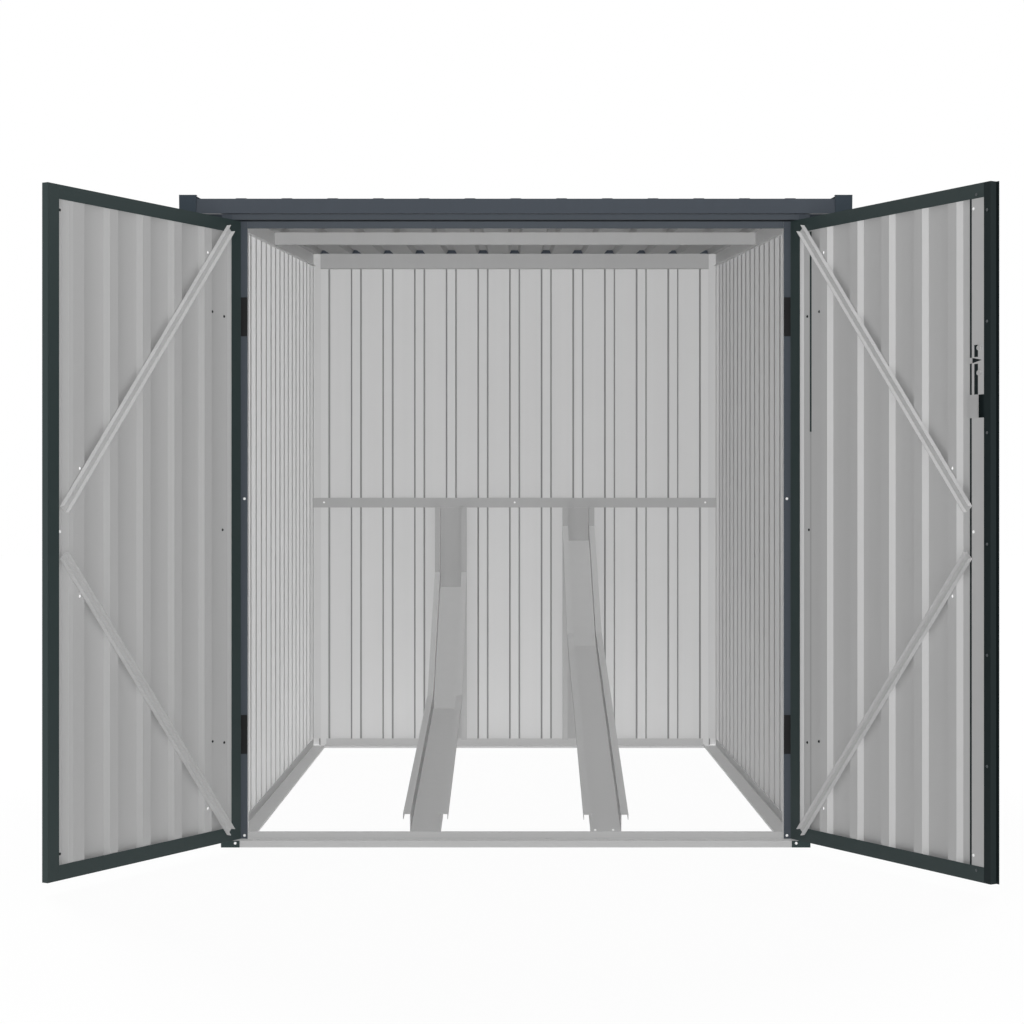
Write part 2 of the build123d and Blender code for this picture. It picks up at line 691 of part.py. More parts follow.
for side, open_angle, leaf_end, lock_stile, sheet_stop in (
    ("left", left_open_angle, left_leaf_end, left_lock_stile, left_sheet_stop),
    ("right", right_open_angle, right_leaf_end, right_lock_stile, right_sheet_stop),
):
    turn = radians(open_angle)
    leaf_x = Vector(cos(turn), -sin(turn), 0)
    leaf_y = Vector(sin(turn), cos(turn), 0)
    axis = Vector(-hinge_x, hinge_y, 0)
    leaf = Plane(origin=axis + Vector(0, 0, door_low), x_dir=leaf_x, z_dir=(0, 0, 1))
    leaf_face = Plane(origin=axis, x_dir=leaf_x, z_dir=-leaf_y)
    leaf_height = door_high - door_low

    def leaf_plate(low_x, high_x, low_z, high_z, level, thickness):
        """A plate parallel to the leaf, from a level inwards."""
        with BuildPart() as plate_piece:
            with BuildSketch(leaf_face.offset(-level)):
                with Locations(((low_x + high_x) / 2, (low_z + high_z) / 2)):
                    Rectangle(high_x - low_x, high_z - low_z)
            extrude(amount=-thickness)
        return plate_piece

    with BuildPart() as hinge_side:
        add(folded(leaf, stile_path(door_edge, hinge_stile), -door_fold, leaf_height).part)
        if side == "right":
            add(leaf_plate(
                door_edge + door_fold, door_edge + right_hinge_flange,
                rail_zone_low, rail_zone_high, door_skin, door_fold).part)
    save(mirrored(hinge_side, side), f"{side}_door_hinge_stile")
    with BuildPart() as lock_side:
        add(folded(leaf, stile_path(leaf_end, -lock_stile), door_fold, leaf_height).part)
        if side == "right":
            add(leaf_plate(
                leaf_end - right_lock_flange, leaf_end - door_fold,
                rail_zone_low, rail_zone_high, door_skin, door_fold).part)
    save(mirrored(lock_side, side), f"{side}_door_lock_stile")

    rail_start = door_edge + hinge_stile + seat
    rail_length = leaf_end - lock_stile - seat - rail_start
    rail_plane = Plane(origin=axis + leaf_x * rail_start, x_dir=leaf_y, z_dir=leaf_x)
    top_rail = folded(rail_plane, rail_path(door_high, -door_top_rail), -door_fold, rail_length)
    save(mirrored(top_rail, side), f"{side}_door_top_rail")
    bottom_rail = folded(rail_plane, rail_path(door_low, door_bottom_rail), door_fold, rail_length)
    save(mirrored(bottom_rail, side), f"{side}_door_bottom_rail")

    rib_middles = door_ribs(sheet_stop)
    ribs = rib_tops(rib_middles, rib_top)
    if side == "left":
        ribs[-1] = (ribs[-1][0], ribs[-1][0] + left_edge_rib)
    sheet_path = ribbed_path(sheet_start, sheet_stop, ribs, door_rib_run, sheet_flat, sheet_inner)
    sheet_height = leaf_height - 2 * door_fold - 2 * seat
    with BuildPart() as door_sheet:
        add(folded(leaf.offset(door_fold + seat), sheet_path, -sheet, sheet_height).part)
        with BuildSketch(leaf_face.offset(-door_inner)):
            with Locations(
                (rib_middles[1], door_middle + brace_hole_outer),
                (rib_middles[1], door_middle - brace_hole_outer),
                (rib_middles[-1], door_middle + brace_hole_inner),
                (rib_middles[-1], door_middle - brace_hole_inner),
            ):
                Circle(brace_hole_radius)
        extrude(amount=door_inner, mode=Mode.SUBTRACT)
        if side == "right":
            slit_stop = hinge_slit_place + hinge_slit
            slit_low = door_middle + hinge_slit_rise
            add(leaf_plate(hinge_slit_place, slit_stop, slit_low, rail_zone_high, 0, door_inner).part,
                mode=Mode.SUBTRACT)
    save(mirrored(door_sheet, side), f"{side}_door_sheet")

    with BuildPart() as door_braces:
        for start, end in brace_ends:
            run = leaf_x * (end[0] - start[0]) + Vector(0, 0, end[1] - start[1])
            brace_origin = axis + leaf_x * start[0] + leaf_y * (door_inner + seat) + Vector(0, 0, start[1])
            across = leaf_y.cross(run)
            with BuildSketch(Plane(origin=brace_origin, x_dir=across, z_dir=run)):
                with BuildLine():
                    Polyline(*sheet_outline(brace_path, door_fold), close=True)
                make_face()
            extrude(amount=run.length)
    save(mirrored(door_braces, side), f"{side}_door_braces")

    with BuildPart() as door_hinges:
        for middle_z in hinge_z:
            knuckle_low = middle_z - knuckle_length / 2
            with BuildSketch(Plane(origin=axis + Vector(0, 0, knuckle_low), x_dir=leaf_x, z_dir=(0, 0, 1))):
                Circle(knuckle_radius)
                with Locations((door_edge - seat - hinge_plate / 2, door_inner / 2)):
                    Rectangle(hinge_plate, door_inner)
                Circle(pin_radius + pin_play, mode=Mode.SUBTRACT)
            extrude(amount=knuckle_length)
    save(mirrored(door_hinges, side), f"{side}_door_hinges")

    if side == "right":
        astragal_path = [
            (leaf_end - astragal_width, door_skin - seat),
            (leaf_end - astragal_width, door_skin - seat - astragal_depth),
            (leaf_end + astragal_cover, door_skin - seat - astragal_depth),
        ]
        astragal_plane = leaf.offset(-astragal_rise)
        astragal = folded(astragal_plane, astragal_path, astragal_plate, leaf_height + 2 * astragal_rise)
        save(mirrored(astragal, side), "right_door_astragal")

        lock_face = sheet_inner + seat
        latch_middle = door_middle + (latch_low + latch_high) / 2
        slot_start = strip_start + slot_place
        with BuildPart() as lock_strip_piece:
            add(leaf_plate(strip_start, leaf_end - door_fold - seat, rail_zone_low, rail_zone_high,
                           sheet_inner - door_fold, door_fold).part)
            for low_rise, high_rise in (upper_slot, lower_slot):
                add(leaf_plate(slot_start, slot_start + slot_width, door_middle + low_rise,
                               door_middle + high_rise, sheet_flat, door_inner).part, mode=Mode.SUBTRACT)
            add(leaf_plate(strip_start + keeper_place, strip_start + lock_strip, door_middle + keeper_low,
                           door_middle + keeper_high, sheet_flat, door_inner).part, mode=Mode.SUBTRACT)
            with BuildSketch(leaf_face.offset(-door_inner)):
                with BuildLine():
                    Polyline(
                        (strip_start + latch_slot[0], door_middle + latch_low),
                        (strip_start + latch_slot[1], latch_middle),
                        (strip_start + latch_slot[0], door_middle + latch_high),
                        close=True)
                make_face()
            extrude(amount=door_inner - sheet_flat, mode=Mode.SUBTRACT)
        save(mirrored(lock_strip_piece, side), "right_door_lock_strip")

        with BuildPart() as lock_pieces:
            add(leaf_plate(strip_start - lock_lap, strip_start + strap_width, door_middle + latch_low,
                           door_middle + latch_high, lock_face, lock_plate).part)
            add(leaf_plate(strip_start - lock_lap, strip_start + keeper_place, door_middle + keeper_low,
                           door_middle + keeper_high, lock_face, lock_plate).part)
            with BuildSketch(leaf_face.offset(-lock_face)):
                with Locations(*[(strip_start + boss_place, door_middle + rise) for rise in boss_rises]):
                    Circle(boss_radius)
            extrude(amount=-boss_height)
        save(mirrored(lock_pieces, side), "right_door_lock")
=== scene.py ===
import math

import bpy
from mathutils import Matrix, Vector


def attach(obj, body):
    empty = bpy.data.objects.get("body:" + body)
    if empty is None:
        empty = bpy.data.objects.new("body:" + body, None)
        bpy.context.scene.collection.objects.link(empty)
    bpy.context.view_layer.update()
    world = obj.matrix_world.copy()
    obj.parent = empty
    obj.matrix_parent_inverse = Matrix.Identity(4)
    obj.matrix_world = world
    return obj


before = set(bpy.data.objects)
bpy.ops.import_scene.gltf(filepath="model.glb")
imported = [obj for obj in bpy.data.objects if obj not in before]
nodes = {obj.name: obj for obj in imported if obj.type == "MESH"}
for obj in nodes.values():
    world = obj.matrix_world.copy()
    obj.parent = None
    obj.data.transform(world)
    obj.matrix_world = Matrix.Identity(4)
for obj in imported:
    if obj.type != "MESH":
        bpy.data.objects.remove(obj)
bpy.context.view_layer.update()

scene = bpy.context.scene
bpy.ops.object.select_all(action="DESELECT")
bpy.context.tool_settings.mesh_select_mode = (False, False, True)

# Camera: level and nearly square to the front
camera_data = bpy.data.cameras.new("shed_camera")
camera_data.lens = 70.0
camera_data.sensor_width = 36.0
camera_data.shift_x = -0.0001
camera_data.shift_y = -0.00195
camera_data.clip_end = 100.0
camera = bpy.data.objects.new("shed_camera", camera_data)
camera.location = (-0.009, -5.01, 0.844)
camera.rotation_euler = (math.radians(90.0), 0.0, 0.0)
scene.collection.objects.link(camera)
scene.camera = camera
scene.view_settings.view_transform = "Standard"

# Open leaves: the hinge axis, and the ways along and across the left leaf, inwards
OPENING = math.radians(120.0)
HINGE_X = 0.702
HINGE_Y = -0.031
LEAF_ALONG = Vector((math.cos(OPENING), -math.sin(OPENING), 0.0))
LEAF_ACROSS = Vector((math.sin(OPENING), math.cos(OPENING), 0.0))
FLAT_LEVEL = 0.0081          # door sheet's flats, inwards of the hinge axis
RIB_LEVEL = 0.0201           # its ribs and the lock strip
FLANGE_LEVEL = 0.0215        # stiles and rails
DOOR_FIRST_RIB = 0.0177      # hinge axis to the first rib's middle
DOOR_PITCH = 0.1135
SLIT_FROM_RIB = 0.0491       # first rib's middle to the slit's middle, where a painted shade line runs on below the slit
SLIT_LOW = 1.037

# Frame and guides
STOP_FACE = 0.0              # posts' door stops
STOP_BACK = 0.0005           # the posts are light behind this
BRACKET_FACE = -0.0317
WALL_INNER = 0.73            # the roof is light underneath between the walls
MID_RAIL_FACE = 2.1048
RAIL_END_BACK = 2.1181
RAIL_END_NEAR = 0.6931
RAIL_END_FAR = 0.7196
RAIL_END_LOW = 0.853
RAIL_END_HIGH = 0.8875
PLATE = 0.0015
FLANK_BEYOND = 0.23          # past each guide's wall that is nearer to the middle; the far wall's inner face there gets painted light
RAMP_TILT = math.radians(13.6)
RAMP_UP = Vector((0.0, -math.sin(RAMP_TILT), math.cos(RAMP_TILT)))
RAMP_ALONG = Vector((0.0, math.cos(RAMP_TILT), math.sin(RAMP_TILT)))
RAMP_FOOT = Vector((0.0, 0.004, 0.0342))

FORWARD = Vector((0.0, -1.0, 0.0))
DOWNWARD = Vector((0.0, 0.0, -1.0))
RIGHTWARD = Vector((1.0, 0.0, 0.0))
LEFTWARD = Vector((-1.0, 0.0, 0.0))
UNDER_ROOF = Vector((0.0, 0.073, -0.997))

# Colours
FRAME_DARK = (0.062, 0.072, 0.086)
LINTEL_DARK = (0.070, 0.081, 0.095)
# Painted shade: near black for the lintel's downward faces, standing for the shadow of the gap above the
# doors
LINTEL_PAINTED_SHADE = (0.010, 0.012, 0.013)
DOOR_DARK = (0.026, 0.040, 0.040)
LEAF_DARK = (0.044, 0.055, 0.062)
# Painted shade: a darker copy of the leaves' dark coat, for the right leaf's lock stile and astragal
EDGE_PAINTED_SHADE = (0.013, 0.020, 0.021)
CAP_DARK = (0.034, 0.046, 0.058)
HINGE_BLACK = (0.015, 0.015, 0.016)
SCREW_BLACK = (0.03, 0.032, 0.034)
SCREW_GREY = (0.10, 0.11, 0.115)
SCREW_ZINC = 0.85
LOCK_ZINC = 0.5
RAIL_GREY = 0.40
# Painted light: a lighter grey for the weakly lit inner face of each wheel guide's far wall
FLANK_PAINTED_LIGHT = 0.64
SILL_GREY = 0.45
BRACE_GREY = 0.48
REAR_GREY = 0.48
POST_GREY = 0.575
# Painted light: the side top rails get a lighter grey than the other rails, for their weakly lit sideways
# legs
TOP_RAIL_PAINTED_LIGHT = 0.72

# Rolled streaks, as the noise's scale along X, Y and Z
UPRIGHT = (30.0, 30.0, 0.6)
SIDEWAYS = (0.6, 30.0, 30.0)
MOULDED = (3.0, 3.0, 3.0)
TURNED = (9.0, 9.0, 9.0)
NO_LIMIT = 9.0


def mirrored(vector):
    """The same way on the other side of the shed."""
    return Vector((-vector.x, vector.y, vector.z))


def fill_sockets(tree, node, sockets):
    """Set a node's sockets to values, or link them from other sockets; i0, i1 and so on count them."""
    for label, value in sockets.items():
        counted = label[0] == "i" and label[1:].isdigit()
        key = int(label[1:]) if counted else label.replace("_", " ")
        if isinstance(value, bpy.types.NodeSocket):
            tree.links.new(value, node.inputs[key])
        else:
            node.inputs[key].default_value = value
    return node


def add_node(tree, kind, settings=None, **sockets):
    node = tree.nodes.new("ShaderNode" + kind)
    for label, value in (settings or {}).items():
        setattr(node, label, value)
    return fill_sockets(tree, node, sockets)


def add_group(tree, group, **sockets):
    return fill_sockets(tree, add_node(tree, "Group", {"node_tree": group}), sockets)


def calc(tree, operation, *values):
    """Result of a Math node on values or sockets."""
    sockets = {f"i{place}": value for place, value in enumerate(values)}
    return add_node(tree, "Math", {"operation": operation}, **sockets).outputs["Value"]


def dot(tree, one, other):
    return add_node(tree, "VectorMath", {"operation": "DOT_PRODUCT"}, i0=one, i1=other).outputs["Value"]


def scaled(tree, vector, factor):
    return add_node(tree, "VectorMath", {"operation": "SCALE"}, i0=vector, Scale=factor).outputs["Vector"]


def new_group(name, inputs, outputs):
    """A shader node group with named sockets: its tree, what it takes and what it gives."""
    group = bpy.data.node_groups.new(name, "ShaderNodeTree")
    for kind, label, value in inputs:
        socket = group.interface.new_socket(label, in_out="INPUT", socket_type="NodeSocket" + kind)
        socket.default_value = value
    for kind, label in outputs:
        group.interface.new_socket(label, in_out="OUTPUT", socket_type="NodeSocket" + kind)
    taken = group.nodes.new("NodeGroupInput").outputs
    given = group.nodes.new("NodeGroupOutput")
    return group, taken, given


def make_coat_group():
    """Baked coat: broad mottle, faint rolled streaks along a direction, and fine orange peel."""
    mottle_scale = 1.7
    peel_scale = 420.0
    roughness_swing = 0.18
    group, taken, given = new_group(
        "baked_coat",
        [("Color", "Colour", (0.5, 0.5, 0.5, 1.0)), ("Float", "Mottle", 0.05),
         ("Float", "Roughness", 0.45), ("Vector", "Streaks", UPRIGHT)],
        [("Color", "Colour"), ("Float", "Roughness"), ("Float", "Peel")])
    place = add_node(group, "TexCoord").outputs["Object"]
    broad = add_node(group, "TexNoise", Vector=place, Scale=mottle_scale, Detail=3.0, Roughness=0.55)
    stretched = add_node(group, "VectorMath", {"operation": "MULTIPLY"}, i0=place, i1=taken["Streaks"])
    streak = add_node(group, "TexNoise", Vector=stretched.outputs["Vector"], Scale=1.0, Detail=2.0)
    fine = add_node(group, "TexNoise", Vector=place, Scale=peel_scale, Detail=2.0)
    centred = calc(group, "SUBTRACT", calc(group, "ADD", broad.outputs["Fac"], streak.outputs["Fac"]), 1.0)
    swing = calc(group, "MULTIPLY_ADD", centred, taken["Mottle"], 1.0)
    rough = calc(group, "MULTIPLY_ADD", centred, roughness_swing, taken["Roughness"])
    fill_sockets(group, given, {"Colour": scaled(group, taken["Colour"], swing), "Roughness": rough,
                                "Peel": fine.outputs["Fac"]})
    return group


def make_two_sided_group():
    """One colour on the faces inside the shed that look a given way, another on the rest.

    Fold scales the inside colour on the slanted sides of the ribs: painted shade below 1, painted light above
    1. Half width, Beyond and Front limit the inside colour to a distance from the middle of the shed and from
       its front.
    """
    least_inward = 0.05
    least_flat = 0.9
    group, taken, given = new_group(
        "two_sided",
        [("Color", "Inside", (0.5, 0.5, 0.5, 1.0)), ("Color", "Outside", (0.1, 0.1, 0.1, 1.0)),
         ("Vector", "Inward", (0.0, 0.0, 1.0)), ("Float", "Half width", NO_LIMIT),
         ("Float", "Front", -NO_LIMIT), ("Float", "Fold", 1.0), ("Float", "Beyond", -1.0)],
        [("Color", "Colour")])
    place = add_node(group, "TexCoord").outputs
    apart = add_node(group, "SeparateXYZ", Vector=place["Object"]).outputs
    aside = calc(group, "ABSOLUTE", apart["X"])
    between = calc(group, "LESS_THAN", aside, taken["Half width"])
    beyond = calc(group, "GREATER_THAN", aside, taken["Beyond"])
    behind = calc(group, "GREATER_THAN", apart["Y"], taken["Front"])
    within = calc(group, "MULTIPLY", calc(group, "MULTIPLY", between, beyond), behind)
    facing = dot(group, place["Normal"], taken["Inward"])
    mask = calc(group, "MULTIPLY", calc(group, "GREATER_THAN", facing, least_inward), within)
    # Painted shading: the inside colour is scaled on the ribs' slanted faces
    slanted = calc(group, "LESS_THAN", facing, least_flat)
    shade = calc(group, "MULTIPLY_ADD", slanted, calc(group, "SUBTRACT", taken["Fold"], 1.0), 1.0)
    inner = scaled(group, taken["Inside"], shade)
    mixed = add_node(group, "Mix", {"data_type": "RGBA"}, i0=mask, i6=taken["Outside"], i7=inner)
    group.links.new(mixed.outputs[2], given.inputs["Colour"])
    return group


def make_bowed_group():
    """Ribbed sheet whose flats bow slightly between the ribs, with one line of painted shade below a height.
    """
    flat_half = 0.3
    shade_line_half = 0.003
    group, taken, given = new_group(
        "bowed_flats",
        [("Vector", "Along", (1.0, 0.0, 0.0)), ("Float", "First rib", 0.0), ("Float", "Pitch", 0.1),
         ("Float", "Bow", 0.0), ("Float", "Seam", NO_LIMIT), ("Float", "Seam top", 0.0)],
        [("Float", "Height"), ("Float", "Seam")])
    place = add_node(group, "TexCoord").outputs["Object"]
    from_rib = calc(group, "SUBTRACT", dot(group, place, taken["Along"]), taken["First rib"])
    share = calc(group, "FRACT", calc(group, "DIVIDE", from_rib, taken["Pitch"]))
    from_middle = calc(group, "ABSOLUTE", calc(group, "SUBTRACT", share, 0.5))
    on_flat = calc(group, "MINIMUM", from_middle, flat_half)
    height = calc(group, "MULTIPLY", calc(group, "MULTIPLY", on_flat, on_flat), taken["Bow"])
    # Painted shade: a narrow darker line at the slit's place, below the slit's low end
    near = calc(group, "COMPARE", from_rib, taken["Seam"], shade_line_half)
    apart = add_node(group, "SeparateXYZ", Vector=place).outputs
    below = calc(group, "LESS_THAN", apart["Z"], taken["Seam top"])
    fill_sockets(group, given, {"Height": height, "Seam": calc(group, "MULTIPLY", near, below)})
    return group


coat_group = make_coat_group()
two_sided_group = make_two_sided_group()
bowed_group = make_bowed_group()


def rgba(value):
    """A grey, or a colour, with its alpha."""
    return (value, value, value, 1.0) if isinstance(value, float) else (*value, 1.0)


def coated(name, colour=FRAME_DARK, roughness=0.5, mottle=0.05, streaks=UPRIGHT, peel=0.02, metallic=0.0,
           gloss=0.25, inside=None, inward=None, half_width=NO_LIMIT, front=-NO_LIMIT, fold=1.0, beyond=-1.0):
    """A coated sheet, of one colour or with its own colour on the inward faces."""
    peel_depth = 0.0004
    material = bpy.data.materials.new(name)
    material.use_nodes = True
    tree = material.node_tree
    coat = add_group(tree, coat_group, Colour=rgba(colour), Mottle=mottle, Roughness=roughness,
                     Streaks=streaks)
    coat.name = "coat"
    if inside is not None:
        sides = add_group(tree, two_sided_group, Inside=rgba(inside), Outside=rgba(colour), Inward=inward,
                          Half_width=half_width, Front=front, Fold=fold, Beyond=beyond)
        tree.links.new(sides.outputs["Colour"], coat.inputs["Colour"])
    bump = add_node(tree, "Bump", Strength=peel, Distance=peel_depth, Height=coat.outputs["Peel"])
    bump.name = "peel"
    fill_sockets(tree, tree.nodes["Principled BSDF"], {
        "Metallic": metallic, "Specular IOR Level": gloss, "Base Color": coat.outputs["Colour"],
        "Roughness": coat.outputs["Roughness"], "Normal": bump.outputs["Normal"]})
    return material


def bow_flats(material, along, bow, seam=NO_LIMIT):
    """Bow a door sheet's flats, and darken a line below its slit as painted shade if it has one."""
    shade_line_darkening = -0.22
    tree = material.node_tree
    coat = tree.nodes["coat"]
    hinge = Vector((math.copysign(HINGE_X, along.x), HINGE_Y, 0.0))
    flats = add_group(tree, bowed_group, Along=along, First_rib=hinge.dot(along) + DOOR_FIRST_RIB,
                      Pitch=DOOR_PITCH, Bow=bow, Seam=seam, Seam_top=SLIT_LOW)
    bend = add_node(tree, "Bump", Strength=1.0, Distance=1.0, Height=flats.outputs["Height"])
    tree.links.new(bend.outputs["Normal"], tree.nodes["peel"].inputs["Normal"])
    sheet_colour = coat.inputs["Colour"].links[0].from_socket
    # Painted shade along the line below the slit
    darker = calc(tree, "MULTIPLY_ADD", flats.outputs["Seam"], shade_line_darkening, 1.0)
    tree.links.new(scaled(tree, sheet_colour, darker), coat.inputs["Colour"])


# Finishes of the CAD nodes
frame_coat = coated("frame_coat", mottle=0.1, gloss=0.12)
rail_coat = coated("rail_coat", RAIL_GREY, 0.45, mottle=0.06)
brace_coat = coated("brace_coat", BRACE_GREY, 0.45)
hinge_coat = coated("hinge_coat", HINGE_BLACK, 0.55, mottle=0.2)
# Painted shade: the right leaf's lock stile and astragal are darker than the left leaf's frame; their outward
# faces keep the leaf's own dark
edge_painted_shade_coat = coated("edge_painted_shade_coat", EDGE_PAINTED_SHADE, mottle=0.1, gloss=0.1, inside=LEAF_DARK,
                   inward=mirrored(-LEAF_ACROSS))

finishes = {
    "front_fascia": frame_coat,
    "back_fascia": frame_coat,
    "roof_verges": coated("verge_coat", mottle=0.1, gloss=0.0),
    "roof_corner_caps": coated("cap_plastic", CAP_DARK, 0.6, mottle=0.08, streaks=MOULDED, peel=0.05),
    "front_foot_brackets": coated("bracket_coat", DOOR_DARK, mottle=0.1),
    "front_sill": coated("sill_coat", SILL_GREY, 0.45, streaks=SIDEWAYS),
    "back_base_rail": coated("rear_coat", REAR_GREY, 0.45, streaks=SIDEWAYS),
    "back_posts": coated("post_coat", POST_GREY, 0.45),
    # Painted light: a lighter copy of the rail grey on the side top rails
    "side_top_rails": coated("top_rail_painted_light_coat", TOP_RAIL_PAINTED_LIGHT, 0.45),
    "back_top_rail": rail_coat,
    "back_mid_rail": rail_coat,
    "roof_purlin": rail_coat,
    "left_door_braces": brace_coat,
    "right_door_braces": brace_coat,
    "right_door_lock_strip": brace_coat,
    "right_door_lock": coated("lock_zinc", LOCK_ZINC, 0.4, metallic=0.35, mottle=0.08),
    "frame_hinges": hinge_coat,
    "left_door_hinges": hinge_coat,
    "right_door_hinges": hinge_coat,
}
two_sided_looks = {
    # Painted light and shade: the same wall sheet gets a lighter inside grey on the left wall and a darker
    # one on the right wall, for light falling from the right
    "left_wall": dict(inside=0.66, inward=RIGHTWARD),
    "right_wall": dict(inside=0.49, inward=LEFTWARD),
    # Painted shade on the rib flanks of the back wall and the left leaf; painted light on the right leaf's
    # rib flanks
    "back_wall": dict(inside=0.62, inward=FORWARD, fold=0.55),
    "roof_sheet": dict(inside=0.47, inward=UNDER_ROOF, half_width=WALL_INNER, front=STOP_FACE, gloss=0.0),
    "left_door_sheet": dict(colour=LEAF_DARK, inside=0.46, inward=LEAF_ACROSS, fold=0.88),
    "right_door_sheet": dict(colour=LEAF_DARK, inside=0.48, inward=mirrored(LEAF_ACROSS), fold=1.1),
    "front_left_post": dict(inside=0.8, inward=RIGHTWARD, front=STOP_BACK),
    "front_right_post": dict(inside=0.8, inward=LEFTWARD, front=STOP_BACK),
    # Painted light: the base rails' faces turned to the middle get a lighter grey than the rest of each rail,
    # as they are weakly lit
    "left_base_rail": dict(colour=RAIL_GREY, inside=0.7, inward=RIGHTWARD),
    "right_base_rail": dict(colour=RAIL_GREY, inside=0.7, inward=LEFTWARD),
    # Painted shade: the lintel's downward faces are near black, for the shadow of the gap above the doors
    "door_lintel": dict(colour=LINTEL_DARK, inside=LINTEL_PAINTED_SHADE, inward=DOWNWARD),
}
for name, look in two_sided_looks.items():
    finishes[name] = coated(name + "_coat", **look)
bow_flats(finishes["left_door_sheet"], LEAF_ALONG, 0.024)
# Right leaf: a line of painted shade continues the slit downwards
bow_flats(finishes["right_door_sheet"], mirrored(LEAF_ALONG), 0.006, SLIT_FROM_RIB)
sides = (("left", -LEAF_ACROSS, RIGHTWARD), ("right", mirrored(-LEAF_ACROSS), LEFTWARD))
for side, outward, to_middle in sides:
    leaf_frame_coat = coated(side + "_leaf_frame_coat", DOOR_DARK, mottle=0.1, inside=LEAF_DARK,
                             inward=outward)
    for piece in ("hinge_stile", "lock_stile", "top_rail", "bottom_rail"):
        finishes[f"{side}_door_{piece}"] = leaf_frame_coat
    # Painted light: the inner face of each guide's far wall gets a lighter grey than the rest of the guide
    guide_coat = coated(side + "_guide_coat", RAIL_GREY, 0.45, mottle=0.06, inside=FLANK_PAINTED_LIGHT,
                        inward=to_middle, beyond=FLANK_BEYOND)
    for piece in ("ramp", "riser", "post"):
        finishes[f"{side}_wheel_{piece}"] = guide_coat
# Painted shade on the right leaf's lock stile and astragal
finishes["right_door_lock_stile"] = edge_painted_shade_coat
finishes["right_door_astragal"] = edge_painted_shade_coat
for name, material in finishes.items():
    for slot in nodes[name].material_slots:
        slot.material = material


def select_faces(piece, chosen):
    """Select only the chosen faces of a mesh, and go on in edit mode."""
    bpy.ops.object.mode_set(mode="OBJECT")
    for element in (*piece.data.vertices, *piece.data.edges, *piece.data.polygons):
        element.select = False
    for face in piece.data.polygons:
        face.select = chosen(face)
    bpy.ops.object.mode_set(mode="EDIT")


def fit_piece(name, parts, material, body):
    """One piece out of its parts, with its finish, on its body."""
    bpy.ops.object.select_all(action="DESELECT")
    for part in parts:
        part.select_set(True)
    piece = parts[0]
    bpy.context.view_layer.objects.active = piece
    if len(parts) > 1:
        bpy.ops.object.join()
    piece.name = name
    piece.data.materials.clear()
    piece.data.materials.append(material)
    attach(piece, body)


def model_rail_end(side):
    """Mid rail's end in front of a back post: a block without its back and ends, given walls inwards."""
    bpy.ops.object.select_all(action="DESELECT")
    bpy.ops.mesh.primitive_cube_add(
        size=1.0,
        location=(side * (RAIL_END_NEAR + RAIL_END_FAR) / 2,
                  (MID_RAIL_FACE + RAIL_END_BACK) / 2,
                  (RAIL_END_LOW + RAIL_END_HIGH) / 2),
        scale=(RAIL_END_FAR - RAIL_END_NEAR, RAIL_END_BACK - MID_RAIL_FACE, RAIL_END_HIGH - RAIL_END_LOW))
    rail_end = bpy.context.object
    bpy.ops.object.transform_apply(location=True, rotation=True, scale=True)
    select_faces(rail_end, lambda face: face.normal.y > 0.5 or abs(face.normal.x) > 0.5)
    bpy.ops.mesh.delete(type="FACE")
    bpy.ops.object.mode_set(mode="OBJECT")
    walls = rail_end.modifiers.new("plate", "SOLIDIFY")
    walls.thickness = PLATE
    walls.offset = -1.0
    walls.use_even_offset = True
    bpy.ops.object.modifier_apply(modifier=walls.name)
    return rail_end


fit_piece("mid_rail_ends", [model_rail_end(1.0), model_rail_end(-1.0)], rail_coat, "shed")


def model_screw():
    """Flanged pan head with a recess, looking up from the origin."""
    flange_radius = 0.0034
    flange_height = 0.0005
    head_radius = 0.0026
    head_height = 0.0014
    rounding = 0.0006
    recess_radius = 0.0012
    recess_depth = 0.0008
    bpy.ops.object.select_all(action="DESELECT")
    bpy.ops.mesh.primitive_cylinder_add(vertices=16, radius=flange_radius, depth=flange_height,
                                        location=(0.0, 0.0, flange_height / 2))
    screw = bpy.context.object
    bpy.ops.object.transform_apply(location=True, rotation=True, scale=True)
    select_faces(screw, lambda face: face.normal.z > 0.5)
    bpy.ops.mesh.inset(thickness=flange_radius - head_radius)
    bpy.ops.mesh.extrude_region_move(TRANSFORM_OT_translate={"value": (0.0, 0.0, head_height - rounding)})
    bpy.ops.mesh.extrude_region_move(TRANSFORM_OT_translate={"value": (0.0, 0.0, rounding)})
    shrink = (head_radius - rounding) / head_radius
    bpy.ops.transform.resize(value=(shrink, shrink, 1.0))
    bpy.ops.mesh.inset(thickness=head_radius - rounding - recess_radius)
    bpy.ops.mesh.extrude_region_move(TRANSFORM_OT_translate={"value": (0.0, 0.0, -recess_depth)})
    bpy.ops.object.mode_set(mode="OBJECT")
    bpy.ops.object.shade_smooth_by_angle(angle=math.radians(35.0))
    return screw


screw_pattern = model_screw()


def drive_screws(name, body, material, places):
    """Copies of the screw on their places, each given as a point and the way that its head looks."""
    copies = []
    for point, outward in places:
        copy = bpy.data.objects.new(name, screw_pattern.data.copy())
        turn = Vector((0.0, 0.0, 1.0)).rotation_difference(outward).to_matrix().to_4x4()
        copy.data.transform(Matrix.Translation(point) @ turn)
        scene.collection.objects.link(copy)
        copies.append(copy)
    fit_piece(name, copies, material, body)


def on_leaf(side, along, heights, level):
    """Points up the inner side of an open leaf, each with the way that the leaf looks there."""
    places = []
    for height in heights:
        point = Vector((-HINGE_X, HINGE_Y, height)) + LEAF_ALONG * along + LEAF_ACROSS * level
        places.append((point, LEAF_ACROSS))
    if side == "right":
        places = [(mirrored(point), mirrored(outward)) for point, outward in places]
    return places


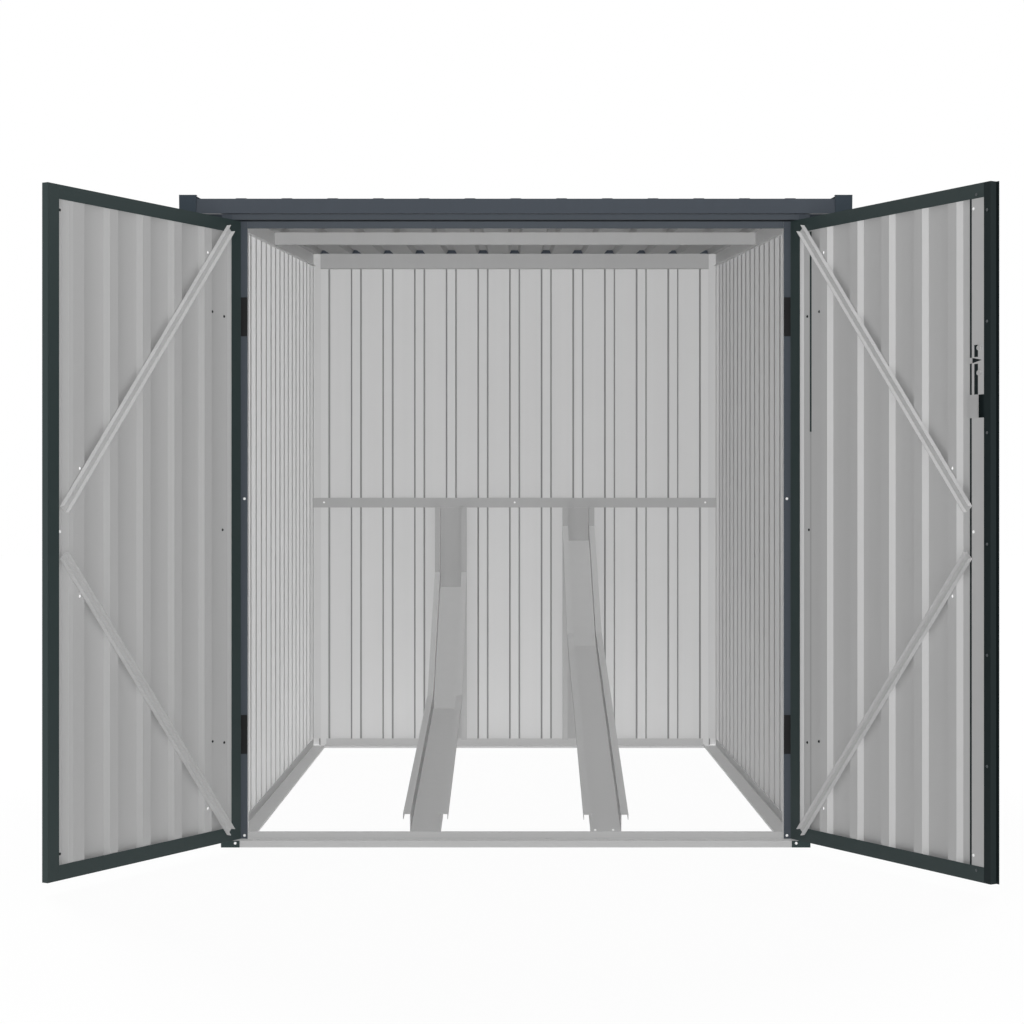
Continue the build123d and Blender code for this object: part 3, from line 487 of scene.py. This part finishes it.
def hinge_side(side):
    """Places of the screws near a leaf's hinges."""
    return (on_leaf(side, 0.0538, (1.323,), FLAT_LEVEL) + on_leaf(side, 0.100, (1.331,), FLAT_LEVEL)
            + on_leaf(side, 0.060, (0.795,), FLAT_LEVEL) + on_leaf(side, 0.0535, (0.2685,), FLAT_LEVEL)
            + on_leaf(side, 0.099, (0.2757,), FLAT_LEVEL))


# Screws: places along the leaves and across the shed, with their heights
LEFT_LOCK_SIDE = 0.6375
STRIP_MIDDLE = 0.6535
ASTRAGAL_MIDDLE = 0.6975
RAIL_FREE_END = 0.664
STOP_MIDDLE = 0.6824
BRACKET_MIDDLE = 0.7014
MID_RAIL_MIDDLE = 0.8712
RAMP_SCREW_IN = 0.006

dark_screw = coated("dark_screw", SCREW_BLACK, 0.4, metallic=0.4, mottle=0.15, streaks=TURNED)
grey_screw = coated("grey_screw", SCREW_GREY, 0.4, metallic=0.3, mottle=0.15, streaks=TURNED)
zinc_screw = coated("zinc_screw", SCREW_ZINC, 0.4, mottle=0.08, streaks=TURNED)

drive_screws("left_door_dark_screws", "left_door", dark_screw,
             hinge_side("left") + on_leaf("left", LEFT_LOCK_SIDE, (0.080, 1.5105), FLAT_LEVEL))
drive_screws("left_door_zinc_screw", "left_door", zinc_screw,
             on_leaf("left", LEFT_LOCK_SIDE, (0.7956,), FLAT_LEVEL))
drive_screws("right_door_dark_screws", "right_door", dark_screw, hinge_side("right"))
drive_screws("right_door_zinc_screws", "right_door", zinc_screw,
             on_leaf("right", STRIP_MIDDLE, (0.0805, 0.7956, 1.510), RIB_LEVEL))
drive_screws("right_door_grey_screws", "right_door", grey_screw,
             on_leaf("right", ASTRAGAL_MIDDLE, (0.2818, 0.5256, 0.769, 1.0135, 1.258, 1.502), FLANGE_LEVEL)
             + on_leaf("right", RAIL_FREE_END, (0.049, 1.540), FLANGE_LEVEL))
frame_places = []
for side in (-1.0, 1.0):
    frame_places += [(Vector((side * STOP_MIDDLE, STOP_FACE, height)), FORWARD)
                     for height in (0.0252, 0.8724)]
    frame_places += [(Vector((side * BRACKET_MIDDLE, BRACKET_FACE, 0.0109)), FORWARD)]
drive_screws("frame_screws", "shed", zinc_screw, frame_places)
drive_screws("mid_rail_screws", "shed", zinc_screw,
             [(Vector((across, MID_RAIL_FACE, MID_RAIL_MIDDLE)), FORWARD) for across in (-0.681, 0.0, 0.681)])
ramp_screw_line = RAMP_FOOT + RAMP_UP * PLATE + RAMP_ALONG * RAMP_SCREW_IN
drive_screws("right_ramp_screws", "shed", zinc_screw,
             [(ramp_screw_line + RIGHTWARD * across, RAMP_UP) for across in (0.2004, 0.2457)])
bpy.data.objects.remove(screw_pattern)

# Studio: a pale floor and a plain world, white to the camera, lit by lamps
WHITE = (1.0, 1.0, 1.0, 1.0)
FLOOR_SIZE = 60.0
FLOOR_DROP = 0.0005
FLOOR_GREY = 0.85
FLOOR_WHITENESS = 0.93       # the rest keeps the object's shadow
AMBIENT = 0.2


def seen_directly(tree):
    """1 for rays from the camera, and for reflected and transmitted ones, so that they all see white."""
    path = add_node(tree, "LightPath").outputs
    adding = {"operation": "ADD", "use_clamp": True}
    seen = add_node(tree, "Math", adding, i0=path["Is Camera Ray"], i1=path["Is Glossy Ray"])
    seen = add_node(tree, "Math", adding, i0=seen.outputs["Value"], i1=path["Is Transmission Ray"])
    return seen.outputs["Value"]


bpy.ops.mesh.primitive_plane_add(size=FLOOR_SIZE, location=(0.0, 0.0, -FLOOR_DROP))
floor = bpy.context.object
floor.name = "studio_floor"
floor_material = bpy.data.materials.new("studio_floor")
floor_material.use_nodes = True
floor_tree = floor_material.node_tree
floor_tree.nodes.clear()
floor_share = calc(floor_tree, "MULTIPLY", seen_directly(floor_tree), FLOOR_WHITENESS)
floor_plain = add_node(floor_tree, "BsdfDiffuse", Color=rgba(FLOOR_GREY))
floor_white = add_node(floor_tree, "Emission", Color=WHITE, Strength=1.0)
floor_mixed = add_node(floor_tree, "MixShader", Fac=floor_share, i1=floor_plain.outputs["BSDF"],
                       i2=floor_white.outputs["Emission"])
add_node(floor_tree, "OutputMaterial", Surface=floor_mixed.outputs["Shader"])
floor.data.materials.append(floor_material)

world = bpy.data.worlds.new("studio")
scene.world = world
world.use_nodes = True
world_tree = world.node_tree
world_tree.nodes.clear()
world_plain = add_node(world_tree, "Background", Color=WHITE, Strength=AMBIENT)
world_white = add_node(world_tree, "Background", Color=WHITE, Strength=1.0)
world_mixed = add_node(world_tree, "MixShader", Fac=seen_directly(world_tree),
                       i1=world_plain.outputs["Background"], i2=world_white.outputs["Background"])
add_node(world_tree, "OutputWorld", Surface=world_mixed.outputs["Shader"])


def sun(name, place, target, strength, spread, shadow=True):
    """A soft sun; one without shadow is a fill light, and shows in no reflection."""
    data = bpy.data.lights.new(name, "SUN")
    data.energy = strength
    data.angle = math.radians(spread)
    data.use_shadow = shadow
    lamp = bpy.data.objects.new(name, data)
    scene.collection.objects.link(lamp)
    lamp.location = place
    lamp.rotation_euler = (Vector(target) - Vector(place)).to_track_quat("-Z", "Y").to_euler()
    lamp.visible_glossy = shadow


sun("front_light", (0.7, -8.0, 1.4), (0.0, 0.0, 0.9), strength=1.65, spread=8.0, shadow=False)
sun("top_light", (0.0, 0.0, 9.0), (0.0, 0.0, 0.0), strength=1.7, spread=8.0, shadow=False)
sun("back_left_light", (-3.6, 6.8, 5.9), (0.0, 0.0, 0.0), strength=1.5, spread=20.0)
sun("back_right_light", (3.6, 6.8, 5.9), (0.0, 0.0, 0.0), strength=1.1, spread=20.0)
